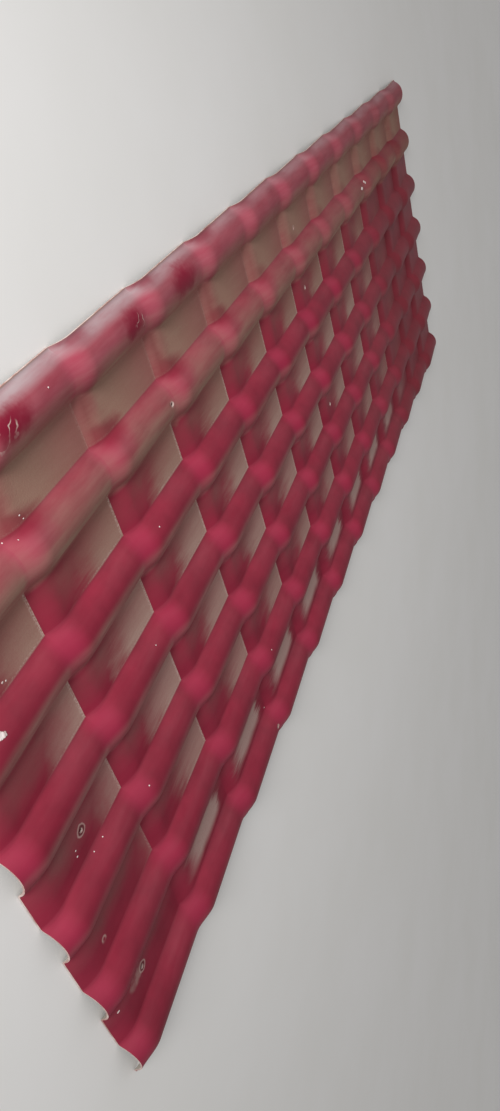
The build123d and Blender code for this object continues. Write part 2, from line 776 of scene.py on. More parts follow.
class Finish:
    """A finish that is drawn with nodes on the piece's own coordinates."""

    title: ClassVar[str]

    def build(self) -> bpy.types.Material:
        """Make the material.

        Returns:
            The finished material.
        """
        material = bpy.data.materials.new(self.title)
        material.use_nodes = True
        tree = material.node_tree
        tree.nodes.clear()
        node = partial(add_node, tree)
        place = node("ShaderNodeTexCoord", out=3)
        node("ShaderNodeOutputMaterial", (self.draw(node, place),))
        return material

    def draw(self, node: AddNode, place: Socket) -> Socket:
        """Draw the finish, in a way of its own for each kind.

        Args:
            node: Adds a node to the material.
            place: The point's place on the piece.

        Returns:
            The shader.
        """
        raise NotImplementedError


@dataclass(frozen=True)
class Patch:
    """An oval place on the skin, in millimetres from the sheet's left eaves corner."""

    across: float
    along: float
    half_width: float
    half_length: float


@dataclass(frozen=True)
class Ring:
    """A ring round a screw's place: its two radii and the width over which its edges fade, in metres."""

    inner: float
    outer: float
    soft: float


class SkinGround:
    """What the skin's masks are drawn from: where each point lies on its tile, and random patterns.

    Patterns, by their real size: blotches 70 mm, wisps 15 mm wide and 110 mm long, fibres 4 mm wide and 38 mm
    long, grains 2.5 mm and grit 1 mm. Two more move edges about, by bends of 11 mm and of 38 mm.
    """

    SHORT_STRAY = (0.014, 0.014, 0)
    LONG_STRAY = (0.036, 0.056, 0)
    RING_STRAY = (0.005, 0.005, 0)

    def __init__(self, node: AddNode, place: Socket, form: SheetForm) -> None:
        """Add the nodes.

        Args:
            node: Adds a node to the skin's material.
            place: The point's place on the sheet.
            form: The sheet's sizes.
        """
        self.node = node
        self.place = place
        self.x = node("ShaderNodeSeparateXYZ", (place,), out=0)
        self.y = node("ShaderNodeSeparateXYZ", (place,), out=1)

        self.blotches = node(NOISE, {"Vector": place, "Scale": 14.0, "Detail": 3.0, "Roughness": 0.55})
        stretched = node(VECTOR, (place, (65.0, 9.0, 20.0)), **TIMES)
        self.wisps = node(NOISE, {"Vector": stretched, "Scale": 1.0, "Detail": 3.0, "Roughness": 0.6})
        combed = node(VECTOR, (place, (260.0, 26.0, 80.0)), **TIMES)
        self.fibres = node(NOISE, {"Vector": combed, "Scale": 1.0, "Detail": 2.0, "Roughness": 0.6})
        self.grains = node(NOISE, {"Vector": place, "Scale": 400.0, "Detail": 2.0, "Roughness": 0.6})
        self.grit = node(NOISE, {"Vector": place, "Scale": 1000.0, "Detail": 1.0})
        flat = node(VECTOR, (place, (1, 1, 0)), **TIMES)
        short_bends = node(NOISE, {"Vector": place, "Scale": 90.0, "Detail": 2.0}, out=1)
        long_bends = node(NOISE, {"Vector": place, "Scale": 26.0, "Detail": 3.0, "Roughness": 0.6}, out=1)
        strayed = node(VECTOR, (short_bends, self.SHORT_STRAY, flat), **TIMES_PLUS)
        self.strayed = node(VECTOR, (long_bends, self.LONG_STRAY, strayed), **TIMES_PLUS)
        self.near_ring = node(VECTOR, (short_bends, self.RING_STRAY, flat), **TIMES_PLUS)
        self.streaks = node(RANGE, (self.wisps, 0.25, 0.75, 0.55, 1.3))

        # Measured from the middle of its trough, with every crest and row carried to the first, and along its row
        trough_one = form.trough_middle(1)
        half_pitch = form.pitch / 2
        wrapped = node(MATH, (self.x, trough_one + half_pitch, trough_one - half_pitch), operation="WRAP")
        self.across = node(MATH, (wrapped, trough_one), **MINUS)
        self.off_middle = node(MATH, (self.across,), operation="ABSOLUTE")
        self.ragged = node(MATH, (self.grains, 0.003, self.across), **TIMES_PLUS)
        self.from_crest = node(MATH, (self.x, form.left + form.pitch, form.left), operation="WRAP")
        row_end = form.eaves + form.row_length
        self.row_place = node(MATH, (self.y, row_end, form.eaves), operation="WRAP")
        self.up_row = node(MATH, (self.row_place, form.eaves), **MINUS)
        self.below_step = node(MATH, (row_end, self.row_place), **MINUS)

        # One up to the first trough, from the last one on, and over all but the far end
        crest_two, crest_six = form.crest_middle(2), form.crest_middle(6)
        self.first = node(RANGE, (self.x, crest_two + 0.02, crest_two - 0.02), **SOFT)
        self.last = node(RANGE, (self.x, crest_six - 0.01, crest_six + 0.01))
        self.far = node(RANGE, (self.y, form.eaves + 2.25, form.eaves + 1.75), **SOFT)


@dataclass(frozen=True)
class WeatheredSkin(Finish):
    """Maroon ASA skin, co-extruded over PVC and moulded hot, after years on a roof.

    ASA has an IOR of about 1.52. New it is satin, with a roughness near 0.4, and chalk and dust take it
    towards 0.95. Rain carried dust down each tile, and it dried above the next step in the troughs.
    The ovals are where it was wiped, where dust smeared over it and where it is scratched. The shares say how
    much of a layer shows. Lengths are in metres, apart from those of the ovals and prints.
    """

    title: ClassVar[str] = "weathered_asa_skin"

    form: SheetForm
    holes: Sequence[ScrewHole]
    red: str = "#8B2137"
    deep_red: str = "#761A2D"
    wiped_red: str = "#7F1830"
    nose_highlight_red: str = "#A22B49"
    rosy_film: str = "#B8757C"
    # Brighter red of the painted highlight on the noses by the steps
    chalk: str = "#A89A9C"
    dust: str = "#B3968B"
    warm_dust: str = "#AC8C82"
    brown_dust: str = "#93705F"
    pale_dust: str = "#C4A9A1"
    last_dust: str = "#B0928B"
    far_film: str = "#744340"
    old_washer: str = "#4C2A2A"
    ior: float = 1.52
    gloss: float = 0.08
    wiped_share: float = 0.7
    smeared_share: float = 0.6
    brown_share: float = 0.7
    ring_share: float = 0.60
    faint_share: float = 0.55
    dark_share: float = 0.6
    bare_roughness: float = 0.50
    covered_roughness: float = 0.95
    grit_height: float = 0.00004
    dust_height: float = 0.0004
    wiped: Sequence[Patch] = (
        Patch(36, 292, 19, 34), Patch(30, 240, 17, 11), Patch(47, 615, 18, 28), Patch(45, 795, 19, 40),
    )
    smeared: Sequence[Patch] = (
        Patch(912, 76, 9, 13), Patch(230, 655, 24, 16), Patch(283, 116, 15, 12),
    )
    scratched: Sequence[Patch] = (Patch(37, 292, 10, 11), Patch(40, 262, 12, 14), Patch(48, 640, 9, 16))
    washer_prints: Sequence[tuple[float, float]] = ((775.5, 62.0),)
    pale_ring: Ring = Ring(0.0072, 0.0100, 0.002)
    dark_ring: Ring = Ring(0.0030, 0.0072, 0.002)
    print_ring: Ring = Ring(0.0026, 0.0060, 0.003)
    faint_ring: Ring = Ring(0.0030, 0.0060, 0.002)

    def draw(self, node: AddNode, place: Socket) -> Socket:
        """Draw the skin, from its red up to what lies on it.

        Args:
            node: Adds a node to the material.
            place: The point's place on the sheet.

        Returns:
            The shader.
        """
        ground = SkinGround(node, place, self.form)
        cleaned, bare = self._clean_noses(ground)
        wiped = self._ovals(ground, self.wiped)
        kept = node(MATH, (1.0, wiped), **MINUS)
        rosy = self._rosy_amount(ground, kept, bare)
        chalk = self._chalk_amount(ground, kept)
        dusty = self._settled_dust(ground)
        film = self._thin_dust(ground)
        loose = self._loose_amount(ground, dusty, film, kept, cleaned)
        pale, dark = self._pale_and_dark(ground, dusty)

        colour = self._red_skin(ground, bare)
        smudge = self._smudge(ground, cleaned)
        wiped_amount = node(MATH, (wiped, self.wiped_share), **TIMES)
        wiped_amount = node(MATH, (wiped_amount, smudge), **MOST)
        layers = (
            (rosy, linear(self.rosy_film)), (chalk, linear(self.chalk)), (wiped_amount, linear(self.wiped_red)),
            (loose, self._dust_colour(ground)), (pale, linear(self.pale_dust)), (dark, linear(self.old_washer)),
            (self._scratches(ground), linear(self.pale_dust)),
        )
        for amount, layer in layers:
            colour = node(MIX, {0: amount, 6: colour, 7: layer}, **COLOURS)

        # Roughness and relief follow the dust and the chalk
        covered = loose
        for amount in (chalk, rosy, pale):
            covered = node(MATH, (covered, amount), **MOST)
        roughness = node(RANGE, (covered, 0.0, 0.8, self.bare_roughness, self.covered_roughness))
        fine = node(MATH, (ground.grit, self.grit_height), **TIMES)
        grainy = node(MATH, (ground.grains, loose), **TIMES)
        relief = node(MATH, (grainy, self.dust_height, fine), **TIMES_PLUS)
        bump = node("ShaderNodeBump", {"Strength": 0.8, "Distance": 1.0, "Height": relief})
        return node(
            "ShaderNodeBsdfPrincipled",
            {"Base Color": colour, "Roughness": roughness, "IOR": self.ior, "Specular IOR Level": self.gloss,
             "Metallic": 0.0, "Normal": bump},
        )

    def _settled_dust(self, ground: SkinGround) -> Socket:
        """Draw the dust that lies above each step in the troughs.

        Args:
            ground: Places and patterns.

        Returns:
            How thick it lies.
        """
        node, form = ground.node, self.form
        across, below_step, blotches = ground.across, ground.below_step, ground.blotches

        # How far down from the step it reaches: less far on the right of a trough, and all over the first
        thinner = node(RANGE, (ground.x, form.crest_middle(4), form.crest_middle(6), 1.0, 0.78))
        reach = node(MATH, (across, -0.45, 0.033), **TIMES_PLUS)
        further = (
            (thinner, 0.06), (ground.first, 0.120), (ground.fibres, 0.03), (blotches, 0.08), (ground.wisps, 0.05),
        )
        for pattern, distance in further:
            reach = node(MATH, (pattern, distance, reach), **TIMES_PLUS)
        spare = node(MATH, (reach, below_step), **MINUS)
        reached = node(RANGE, (spare, 0.0, 0.105), **SOFT)

        # Its sides, soft on the left and sharp on the right
        wavering = node(MATH, (blotches, 0.016, across), **TIMES_PLUS)
        left_side = node(RANGE, (wavering, -0.048, -0.028), **SOFT)
        right_side = node(RANGE, (ground.ragged, 0.0395, 0.0365), **SOFT)
        sides = node(MATH, (left_side, right_side), **TIMES)

        # It thins out to the left, and more so further down from the step, but not in the first trough
        lost = node(RANGE, (across, 0.028, -0.018, 0.0, 0.6))
        lower = node(RANGE, (below_step, 0.0, 0.100, 0.2, 1.0))
        not_first = node(MATH, (1.0, ground.first), **MINUS)
        for mask in (lower, not_first):
            lost = node(MATH, (lost, mask), **TIMES)
        lasting = node(MATH, (1.0, lost), **MINUS)
        dusty = reached
        for mask in (sides, thinner, lasting):
            dusty = node(MATH, (dusty, mask), **TIMES)

        # In the last trough it lies in one patch in the middle of each tile
        uneven = node(MATH, (ground.wisps, 0.05, below_step), **TIMES_PLUS)
        uneven = node(MATH, (ground.fibres, 0.06, uneven), **TIMES_PLUS)
        patch = node(RANGE, (wavering, -0.024, -0.008), **SOFT)
        for at, bare_from, full_from in ((wavering, 0.042, 0.018), (uneven, 0.075, 0.105), (uneven, 0.255, 0.180)):
            edge = node(RANGE, (at, bare_from, full_from), **SOFT)
            patch = node(MATH, (patch, edge), **TIMES)
        dusty = node(MIX, {0: ground.last, 2: dusty, 3: patch}, **NUMBERS)

        # It thins out towards both ends of the sheet, along a slanting line at the near one
        slant = -0.2
        near = node(MATH, (ground.x, slant, ground.y), **TIMES_PLUS)
        near = node(MATH, (blotches, 0.08, near), **TIMES_PLUS)
        near_start = form.eaves + slant * form.left + 0.045
        near = node(RANGE, (near, near_start, near_start + 0.12), **SOFT)
        far_kept = node(MATH, (ground.far, ground.first), **MOST)
        held = node(MATH, (near, far_kept), **TIMES)
        return node(MATH, (dusty, held), **TIMES)

    def _clean_noses(self, ground: SkinGround) -> tuple[Socket, Socket]:
        """Draw what is rubbed clean in the first trough: its noses, and further up the slope on its right.

        Args:
            ground: Places and patterns.

        Returns:
            How clean a place is, and how bare it is where it lies on the trough's floor.
        """
        node, form = ground.node, self.form
        clean_end = node(RANGE, (ground.across, 0.010, 0.030, 0.040, 0.080))
        past = node(MATH, (ground.up_row, clean_end), **MINUS)
        for pattern, distance in ((ground.blotches, 0.06), (ground.fibres, 0.012)):
            past = node(MATH, (pattern, distance, past), **TIMES_PLUS)
        cleaned = node(RANGE, (past, 0.058, 0.004), **SOFT)
        fainter = node(RANGE, (ground.y, form.eaves + 0.75, form.eaves + 1.35, 1.0, 0.45), **SOFT)
        on_floor = node(RANGE, (ground.off_middle, 0.048, 0.036), **SOFT)
        from_fold = node(RANGE, (ground.up_row, 0.0, 0.014, 0.55, 1.0))
        on_floor = node(MATH, (on_floor, from_fold), **TIMES)
        soft_start = node(RANGE, (ground.up_row, 0.0, 0.030), **SOFT)
        started = node(MATH, (on_floor, soft_start), **MOST)
        for mask in (fainter, started, ground.first):
            cleaned = node(MATH, (cleaned, mask), **TIMES)
        return cleaned, node(MATH, (cleaned, on_floor), **TIMES)

    def _smudge(self, ground: SkinGround, cleaned: Socket) -> Socket:
        """Draw the wiped red that shows on the right of the first trough's clean noses.

        Args:
            ground: Places and patterns.
            cleaned: How clean each place is.

        Returns:
            How much of it shows.
        """
        node = ground.node
        left = node(RANGE, (ground.across, 0.0, 0.030, 0.0, 0.7), **SOFT)
        right = node(RANGE, (ground.across, 0.058, 0.042), **SOFT)
        smudge = cleaned
        for mask in (left, right):
            smudge = node(MATH, (smudge, mask), **TIMES)
        return smudge

    def _ovals(self, ground: SkinGround, patches: Sequence[Patch]) -> Socket:
        """Make the mask of some ovals.

        Args:
            ground: Places and patterns.
            patches: The ovals.

        Returns:
            One inside an oval and nothing outside, with a soft and uneven edge.
        """
        node, form = ground.node, self.form
        shift = [(short + long) / 2 for short, long in zip(ground.SHORT_STRAY, ground.LONG_STRAY)]
        nearest = None
        for patch in patches:
            scale = (MM_PER_M / patch.half_width, MM_PER_M / patch.half_length, 0)
            middle = (
                (form.left + patch.across / MM_PER_M + shift[0]) * scale[0],
                (form.eaves + patch.along / MM_PER_M + shift[1]) * scale[1],
                0,
            )
            scaled = node(VECTOR, (ground.strayed, scale), **TIMES)
            away = node(VECTOR, (scaled, middle), out=1, operation="DISTANCE")
            nearest = away if nearest is None else node(MATH, (nearest, away), **LEAST)
        return node(RANGE, (nearest, 1.75, 0.25), **SOFT)

    def _ring_distance(self, ground: SkinGround, places: Sequence[tuple[float, float]]) -> Socket:
        """Measure how far each point is from the nearest of some places.

        Args:
            ground: Places and patterns.
            places: X and Y of each.

        Returns:
            The distance, in metres, a little uneven.
        """
        node = ground.node
        shift = [stray / 2 for stray in ground.RING_STRAY]
        nearest = None
        for x, y in places:
            away = node(
                VECTOR, (ground.near_ring, (x + shift[0], y + shift[1], 0)), out=1, operation="DISTANCE"
            )
            nearest = away if nearest is None else node(MATH, (nearest, away), **LEAST)
        return nearest

    def _band(self, ground: SkinGround, distance: Socket, ring: Ring) -> Socket:
        """Make the mask of a ring.

        Args:
            ground: Places and patterns.
            distance: Distance from the ring's middle.
            ring: The ring.

        Returns:
            One in the ring and nothing outside it.
        """
        node, fade = ground.node, ring.soft / 2
        inside = node(RANGE, (distance, ring.inner - fade, ring.inner + fade), **SOFT)
        outside = node(RANGE, (distance, ring.outer + fade, ring.outer - fade), **SOFT)
        return node(MATH, (inside, outside), **TIMES)

    def _rosy_amount(self, ground: SkinGround, kept: Socket, bare: Socket) -> Socket:
        """Draw the rosy film, all over the first crest and thinner on the second and on each left flank.

        Args:
            ground: Places and patterns.
            kept: What wasn't wiped.
            bare: What is rubbed bare.

        Returns:
            How thick it lies.
        """
        node, form = ground.node, self.form
        crest_one, crest_two = form.crest_middle(1), form.crest_middle(2)
        rosy = node(RANGE, (ground.x, crest_one + 0.060, crest_one + 0.020, 0.0, 0.38), **SOFT)
        second = node(RANGE, (ground.x, crest_two + 0.042, crest_two + 0.010, 0.0, 0.24), **SOFT)
        second = node(MATH, (second, ground.far), **TIMES)
        flank = node(RANGE, (ground.from_crest, form.left + 0.044, form.left + 0.014, 0.03, 0.08), **SOFT)
        more_up = node(RANGE, (ground.below_step, 0.15, 0.05), **SOFT)
        under_step = node(RANGE, (ground.below_step, 0.0, 0.035), **SOFT)
        more_up = node(MATH, (more_up, under_step), **TIMES)
        more_up = node(MATH, (more_up, 0.8, 1.0), **TIMES_PLUS)
        for mask in (more_up, ground.far):
            flank = node(MATH, (flank, mask), **TIMES)
        for place in (second, flank):
            rosy = node(MATH, (rosy, place), **MOST)
        unrosy = node(MATH, (bare, -0.9, 1.0), **TIMES_PLUS)
        for mask in (ground.streaks, kept, unrosy):
            rosy = node(MATH, (rosy, mask), **TIMES)
        return rosy

    def _chalk_amount(self, ground: SkinGround, kept: Socket) -> Socket:
        """Draw the grey chalk low on the first crest's left flank, less of it further up the roof.

        Args:
            ground: Places and patterns.
            kept: What wasn't wiped.

        Returns:
            How thick it lies.
        """
        node, form = ground.node, self.form
        crest_one = form.crest_middle(1)
        chalk = node(RANGE, (ground.x, crest_one - 0.018, crest_one - 0.038, 0.0, 0.8), **SOFT)
        nearer = node(RANGE, (ground.y, form.eaves + 0.65, form.eaves + 0.95, 1.0, 0.45), **SOFT)
        for mask in (nearer, ground.streaks, kept):
            chalk = node(MATH, (chalk, mask), **TIMES)
        return chalk

    def _thin_dust(self, ground: SkinGround) -> Socket:
        """Draw the thin dust that rain drew out over the backs of the crests and along every trough.

        Args:
            ground: Places and patterns.

        Returns:
            How thick it lies.
        """
        node, form = ground.node, self.form
        crest_one, crest_two = form.crest_middle(1), form.crest_middle(2)

        # How far each place is from a nose, which rain keeps clean, from nothing on it to one on the slope
        on_slope = node(RANGE, (ground.row_place, form.eaves + 0.012, form.eaves + 0.080), **SOFT)
        over_fold = node(RANGE, (ground.below_step, 0.0, 0.012), **SOFT)
        off_nose = node(MATH, (on_slope, over_fold), **TIMES)
        half_kept = node(MATH, (off_nose, 0.5, 0.5), **TIMES_PLUS)
        mostly = node(MATH, (off_nose, 0.65, 0.35), **TIMES_PLUS)

        # On the backs of the two crests on the left, and thinner on the right flanks of the others
        back = node(RANGE, (ground.from_crest, form.left + 0.004, form.left + 0.066, 0.12, 0.92))
        first_back = node(RANGE, (ground.x, crest_one - 0.002, crest_one + 0.030))
        two_crests = node(RANGE, (ground.x, crest_two + 0.052, crest_two + 0.036), **SOFT)
        less_right = node(RANGE, (ground.x, form.crest_middle(3), form.crest_middle(6), 0.50, 0.08))
        less_right = node(MATH, (less_right, ground.far), **TIMES)
        far_back = node(RANGE, (ground.from_crest, form.left + 0.042, form.left + 0.062), **SOFT)
        on_crest = node(RANGE, (ground.from_crest, form.left + 0.096, form.left + 0.084), **SOFT)
        for mask in (less_right, on_crest):
            far_back = node(MATH, (far_back, mask), **TIMES)
        drawn = back
        for mask in (first_back, two_crests):
            drawn = node(MATH, (drawn, mask), **TIMES)
        drawn = node(MATH, (drawn, far_back), **MOST)
        for mask in (ground.streaks, half_kept):
            drawn = node(MATH, (drawn, mask), **TIMES)

        # Along the troughs, least on their right and in those on the right
        film = node(RANGE, (ground.off_middle, 0.046, 0.020, 0.0, 0.40), **SOFT)
        lessening = 0.067
        rightward = node(MATH, (ground.x, lessening, ground.across), **TIMES_PLUS)
        film_middle = lessening * form.trough_middle(2)
        film_share = node(RANGE, (rightward, film_middle + 0.040, film_middle - 0.018, 0.0, 1.3))
        for mask in (ground.blotches, mostly, film_share, ground.far):
            film = node(MATH, (film, mask), **TIMES)
        return node(MATH, (film, drawn), **MOST)

    def _loose_amount(
        self, ground: SkinGround, dusty: Socket, film: Socket, kept: Socket, cleaned: Socket
    ) -> Socket:
        """Put all the dust together, less what was wiped, cleaned or washed off.

        Args:
            ground: Places and patterns.
            dusty: The dust above the steps.
            film: The thin dust.
            kept: What wasn't wiped.
            cleaned: How clean each place of the first trough is.

        Returns:
            How much of the skin the dust covers.
        """
        node = ground.node
        covering = node(MATH, (cleaned, -0.8, 1.0), **TIMES_PLUS)
        washed = node(RANGE, (ground.below_step, 0.130, 0.015, 0.0, 0.40))
        washed = node(MATH, (washed, ground.first), **TIMES)
        unwashed = node(MATH, (1.0, washed), **MINUS)
        covering = node(MATH, (covering, unwashed), **TIMES)
        smeared = node(MATH, (self._ovals(ground, self.smeared), self.smeared_share), **TIMES)
        cover = node(RANGE, (ground.grains, 0.3, 0.6, 0.88, 1.0))
        amount = node(MATH, (dusty, film), **MOST)
        for mask in (kept, covering):
            amount = node(MATH, (amount, mask), **TIMES)
        amount = node(MATH, (amount, smeared), **MOST)
        return node(MATH, (amount, cover), use_clamp=True, **TIMES)

    def _pale_and_dark(self, ground: SkinGround, dusty: Socket) -> tuple[Socket, Socket]:
        """Draw a crust of paler dust along each step, and the pale and dark rings that washers left.

        Args:
            ground: Places and patterns.
            dusty: The dust above the steps, whose edge has the crust.

        Returns:
            How much of the pale and of the dark there is.
        """
        node, form = ground.node, self.form

        # The crust lies along the step and down the trough's right side
        by_step = node(RANGE, (ground.below_step, 0.0065, 0.003), **SOFT)
        by_side = node(RANGE, (ground.ragged, 0.0335, 0.0360, 0.0, 0.7), **SOFT)
        crust = node(MATH, (by_step, by_side), **MOST)
        others = node(MATH, (1.0, ground.last), **MINUS)
        more_crust = node(MATH, (ground.first, -0.85, 1.0), **TIMES_PLUS)
        flecks = node(RANGE, (ground.grains, 0.42, 0.62, 0.0, 0.75))
        for mask in (dusty, others, more_crust, flecks):
            crust = node(MATH, (crust, mask), **TIMES)

        # Rings round the holes, where washers kept the dust off and left their print
        marked = {mark: [(h.centre.x, h.centre.y) for h in self.holes if h.mark is mark] for mark in ScrewMark}
        prints = [(form.left + a / MM_PER_M, form.eaves + b / MM_PER_M) for a, b in self.washer_prints]
        from_ringed = self._ring_distance(ground, marked[ScrewMark.RINGED])
        from_print = self._ring_distance(ground, prints)
        from_faint = self._ring_distance(ground, marked[ScrewMark.FAINT] + marked[ScrewMark.CHIPPED])
        broken = node(RANGE, (ground.wisps, 0.40, 0.56, 0.1, 0.9))
        print_ring = node(MATH, (self._band(ground, from_print, self.print_ring), broken), **TIMES)
        rings = node(MATH, (self._band(ground, from_ringed, self.pale_ring), print_ring), **MOST)
        ring_amount = node(MATH, (rings, self.ring_share), **TIMES)
        faint_amount = node(MATH, (self._band(ground, from_faint, self.faint_ring), self.faint_share), **TIMES)
        pale = crust
        for amount in (ring_amount, faint_amount):
            pale = node(MATH, (pale, amount), **MOST)
        dark = self._band(ground, from_ringed, self.dark_ring)
        return pale, node(MATH, (dark, self.dark_share), **TIMES)

    def _red_skin(self, ground: SkinGround, bare: Socket) -> Socket:
        """Draw the red itself, with a painted highlight of brighter red on the noses by the steps, and browner at
        the far end and where it is bare.

        Args:
            ground: Places and patterns.
            bare: What is rubbed bare.

        Returns:
            The colour.
        """
        node, form = ground.node, self.form
        tone = node(RANGE, (ground.blotches, 0.3, 0.7))
        colour = node(MIX, {0: tone, 6: linear(self.red), 7: linear(self.deep_red)}, **COLOURS)
        # Painted highlight: brighter red over each nose, from 25 mm below a step to 45 mm above it, up to half of
        # it on the crests, a tenth in the troughs, none at the far end
        highlight_top = node(RANGE, (ground.row_place, form.eaves + 0.045, form.eaves + 0.015), **SOFT)
        highlight_foot = node(RANGE, (ground.below_step, 0.025, 0.0), **SOFT)
        rubbed = node(MATH, (highlight_top, highlight_foot), **MOST)
        highlight_share = node(RANGE, (ground.off_middle, 0.030, 0.050, 0.1, 0.5))
        for mask in (ground.far, highlight_share):
            rubbed = node(MATH, (rubbed, mask), **TIMES)
        far_amount = node(RANGE, (ground.y, form.eaves + 1.3, form.eaves + 2.3, 0.0, 0.30), **SOFT)
        brown_nose = node(MATH, (bare, self.brown_share), **TIMES)
        far_amount = node(MATH, (far_amount, brown_nose), **MOST)
        for amount, layer in ((rubbed, self.nose_highlight_red), (far_amount, self.far_film)):
            colour = node(MIX, {0: amount, 6: colour, 7: linear(layer)}, **COLOURS)
        return colour

    def _dust_colour(self, ground: SkinGround) -> Socket:
        """Draw the dust's colour, brown in the first trough and greyer in the others.

        Args:
            ground: Places and patterns.

        Returns:
            The colour.
        """
        node, form = ground.node, self.form
        combed = node(MIX, {0: 0.5, 2: ground.wisps, 3: ground.fibres}, **NUMBERS)
        tone = node(RANGE, (combed, 0.38, 0.62))
        colour = node(MIX, {0: tone, 6: linear(self.warm_dust), 7: linear(self.dust)}, **COLOURS)
        browner = node(RANGE, (ground.x, form.crest_middle(4), form.crest_middle(2), 0.0, 0.8))
        for amount, layer in ((browner, self.brown_dust), (ground.last, self.last_dust)):
            colour = node(MIX, {0: amount, 6: colour, 7: linear(layer)}, **COLOURS)
        return colour

    def _scratches(self, ground: SkinGround) -> Socket:
        """Draw curved white scratches, about a millimetre wide, in the scratched places.

        Args:
            ground: Places and patterns.

        Returns:
            How much of them shows.
        """
        node = ground.node
        waves = node(
            "ShaderNodeTexWave",
            {"Vector": ground.place, "Scale": 26.0, "Distortion": 9.0, "Detail": 2.0, "Detail Scale": 1.6},
            out=1, bands_direction="DIAGONAL",
        )
        lines = node(RANGE, (waves, 0.90, 0.98))
        return node(MATH, (lines, self._ovals(ground, self.scratched)), **TIMES)


@dataclass(frozen=True)
class PaleCore(Finish):
    """The PVC under the skin, bare where the sheet was sawn and drilled.

    Sawn PVC is matt, with an IOR of 1.54 and a roughness near 0.6, and red saw dust from the skin stays on it.
    """

    title: ClassVar[str] = "sawn_pvc_core"

    body: str = "#CDB9B2"
    stained: str = "#A5776F"
    ior: float = 1.54
    roughness: float = 0.62
    tooth_height: float = 0.0002

    def draw(self, node: AddNode, place: Socket) -> Socket:
        """Draw saw marks and red stains.

        Args:
            node: Adds a node to the material.
            place: The point's place on the sheet.

        Returns:
            The shader.
        """
        # Saw marks half a millimetre wide are drawn at 2 mm, so that they show, with stains of 30 mm
        teeth = node(NOISE, {"Vector": place, "Scale": 500.0, "Detail": 2.0})
        stains = node(NOISE, {"Vector": place, "Scale": 33.0, "Detail": 3.0, "Roughness": 0.6})
        mixed = node(MATH, (teeth, 0.4, stains), **TIMES_PLUS)
        amount = node(RANGE, (mixed, 0.62, 0.85))
        colour = node(MIX, {0: amount, 6: linear(self.body), 7: linear(self.stained)}, **COLOURS)
        height = node(MATH, (teeth, self.tooth_height), **TIMES)
        bump = node("ShaderNodeBump", {"Strength": 0.7, "Distance": 1.0, "Height": height})
        return node(
            "ShaderNodeBsdfPrincipled",
            {"Base Color": colour, "Roughness": self.roughness, "IOR": self.ior, "Metallic": 0.0, "Normal": bump},
        )


@dataclass(frozen=True)
class Underside(Finish):
    """The plain PVC underside, pressed smooth by the mould and dulled by dust.

    PVC has an IOR of 1.54. Pressed and dusty, it has a roughness near 0.55.
    """

    title: ClassVar[str] = "pressed_pvc_underside"

    body: str = "#C6BFB6"
    dusty: str = "#A99E92"
    ior: float = 1.54
    clean_roughness: float = 0.48
    dusty_roughness: float = 0.8
    grain_height: float = 0.00006

    def draw(self, node: AddNode, place: Socket) -> Socket:
        """Draw drip streaks over clouds of dust.

        Args:
            node: Adds a node to the material.
            place: The point's place on the sheet.

        Returns:
            The shader.
        """
        # Streaks 20 mm wide and 200 mm long, clouds 120 mm across, and a grain of 2 mm
        stretched = node(VECTOR, (place, (50.0, 5.0, 20.0)), **TIMES)
        streaks = node(NOISE, {"Vector": stretched, "Scale": 1.0, "Detail": 3.0, "Roughness": 0.6})
        clouds = node(NOISE, {"Vector": place, "Scale": 8.0, "Detail": 4.0, "Roughness": 0.6})
        grain = node(NOISE, {"Vector": place, "Scale": 450.0, "Detail": 2.0})
        mixed = node(MATH, (streaks, 0.6, clouds), **TIMES_PLUS)
        amount = node(RANGE, (mixed, 0.65, 1.0))
        colour = node(MIX, {0: amount, 6: linear(self.body), 7: linear(self.dusty)}, **COLOURS)
        roughness = node(RANGE, (amount, 0.0, 1.0, self.clean_roughness, self.dusty_roughness))
        height = node(MATH, (grain, self.grain_height), **TIMES)
        bump = node("ShaderNodeBump", {"Strength": 0.7, "Distance": 1.0, "Height": height})
        return node(
            "ShaderNodeBsdfPrincipled",
            {"Base Color": colour, "Roughness": roughness, "IOR": self.ior, "Metallic": 0.0, "Normal": bump},
        )


@dataclass(frozen=True)
class DriedLime(Finish):
    """Lime and mortar that splashed on the sheet and set: chalk white, quite matt, with a sandy grain.

    Lime has an IOR near 1.55 and a roughness of 0.9 or more.
    """

    title: ClassVar[str] = "dried_lime"

    white: str = "#DCD0CC"
    dirty: str = "#B3968F"
    ior: float = 1.55
    roughness: float = 0.93
    sand_height: float = 0.0003

    def draw(self, node: AddNode, place: Socket) -> Socket:
        """Draw sand grains and patches of dirt.

        Args:
            node: Adds a node to the material.
            place: The point's place on the splash.

        Returns:
            The shader.
        """
        # Sand grains of 0.7 mm, and dirt in patches of 6 mm
        sand = node(NOISE, {"Vector": place, "Scale": 1400.0, "Detail": 2.0})
        dirt = node(NOISE, {"Vector": place, "Scale": 160.0, "Detail": 2.0})
        amount = node(RANGE, (dirt, 0.48, 0.72))
        colour = node(MIX, {0: amount, 6: linear(self.white), 7: linear(self.dirty)}, **COLOURS)
        height = node(MATH, (sand, self.sand_height), **TIMES)
        bump = node("ShaderNodeBump", {"Strength": 0.9, "Distance": 1.0, "Height": height})
        return node(
            "ShaderNodeBsdfPrincipled",
            {"Base Color": colour, "Roughness": self.roughness, "IOR": self.ior, "Metallic": 0.0, "Normal": bump},
        )


